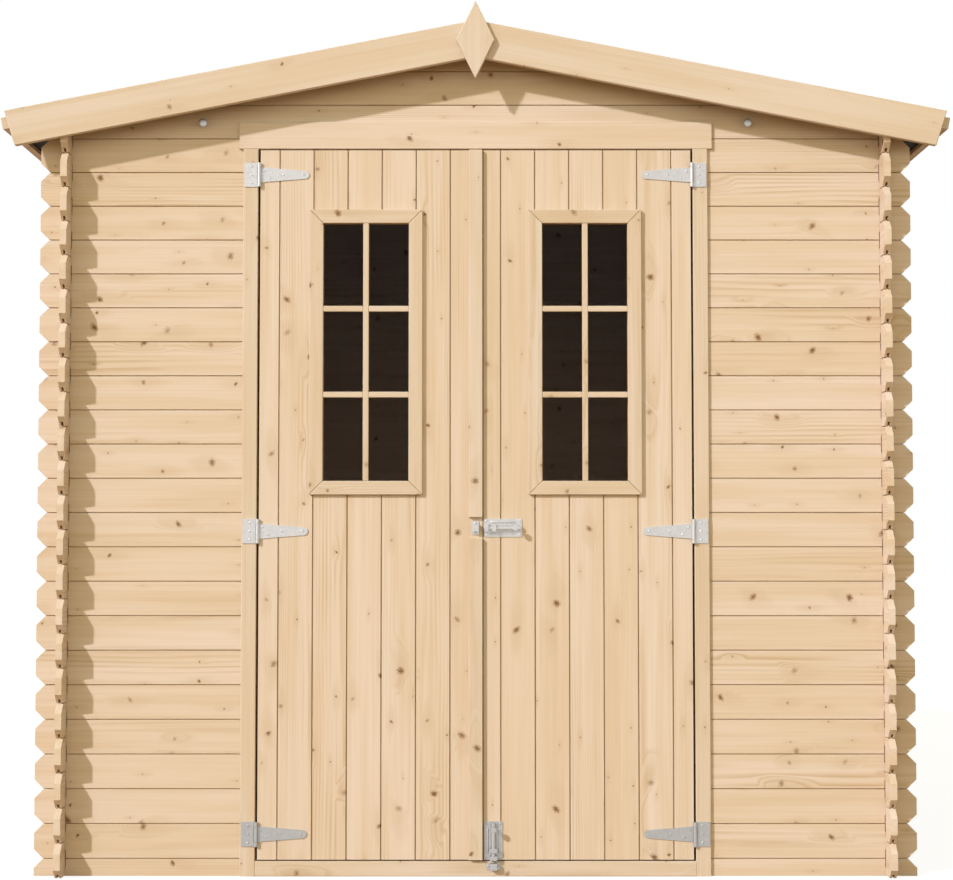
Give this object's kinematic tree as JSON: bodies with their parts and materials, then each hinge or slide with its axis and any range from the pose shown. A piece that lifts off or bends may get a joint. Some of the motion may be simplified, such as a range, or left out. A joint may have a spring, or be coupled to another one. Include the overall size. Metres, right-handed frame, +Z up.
{
  "type": "wooden garden shed",
  "caption": "Timber garden shed of interlocking boards with a low gable roof and a glazed double door that swings on strap hinges and locks with sliding bolts.",
  "frame": {"origin": "on the ground at the middle of the shed, under the ridge", "axes": "+Z up, the doors face -Y, +X to the right as one faces the doors"},
  "size_m": [2.2666, 2.144, 2.0771],
  "materials": {
    "board_wood": "planed, untreated",
    "frame_wood": "planed, untreated",
    "trim_wood": "planed, untreated",
    "zinc": "bright zinc plate",
    "felt": "bituminous felt",
    "pane": "clear pane before a dark interior"
  },
  "bodies": {
    "shed": {"front_wall_left": "board_wood", "front_wall_right": "board_wood", "front_gable": "board_wood", "back_wall": "board_wood", "left_wall": "board_wood", "right_wall": "board_wood", "door_post_left": "frame_wood", "door_post_right": "frame_wood", "door_header": "frame_wood", "door_sill": "frame_wood", "floor": "frame_wood", "floor_bearers": "frame_wood", "ridge_purlin": "frame_wood", "side_purlins": "frame_wood", "roof_left": "frame_wood", "roof_right": "frame_wood", "bargeboard_front_left": "trim_wood", "bargeboard_front_right": "trim_wood", "bargeboard_back_left": "trim_wood", "bargeboard_back_right": "trim_wood", "finial_front": "trim_wood", "finial_back": "trim_wood", "eave_strip_left": "trim_wood", "eave_strip_right": "trim_wood", "hinge_plates": "zinc", "sill_keeper": "zinc", "roof_felt": "felt"},
    "left_door": {"left_door_boards": "board_wood", "left_window_frame": "trim_wood", "left_window_glass": "pane", "left_door_ledges": "frame_wood", "meeting_strip": "trim_wood", "left_hinge_straps": "zinc", "latch_keeper": "zinc"},
    "right_door": {"right_door_boards": "board_wood", "right_window_frame": "trim_wood", "right_window_glass": "pane", "right_door_ledges": "frame_wood", "right_hinge_straps": "zinc", "latch_plate": "zinc", "foot_bolt_plate": "zinc"},
    "latch": {"latch_rod": "zinc", "latch_handle": "zinc"},
    "foot_bolt": {"foot_bolt_rod": "zinc", "foot_bolt_handle": "zinc"}
  },
  "joints": [
    {"name": "left_door_hinge", "type": "hinge", "parent": "shed", "child": "left_door", "pos_m": [-0.52025, -0.9985, 0.886], "axis": [0, 0, -1], "range_deg": [0, 160]},
    {"name": "right_door_hinge", "type": "hinge", "parent": "shed", "child": "right_door", "pos_m": [0.52025, -0.9985, 0.886], "axis": [0, 0, 1], "range_deg": [0, 160]},
    {"name": "latch_slide", "type": "slide", "parent": "right_door", "child": "latch", "axis": [-1, 0, 0], "range_m": [0, 0.034]},
    {"name": "foot_bolt_slide", "type": "slide", "parent": "right_door", "child": "foot_bolt", "axis": [0, 0, -1], "range_m": [0, 0.034]}
  ]
}
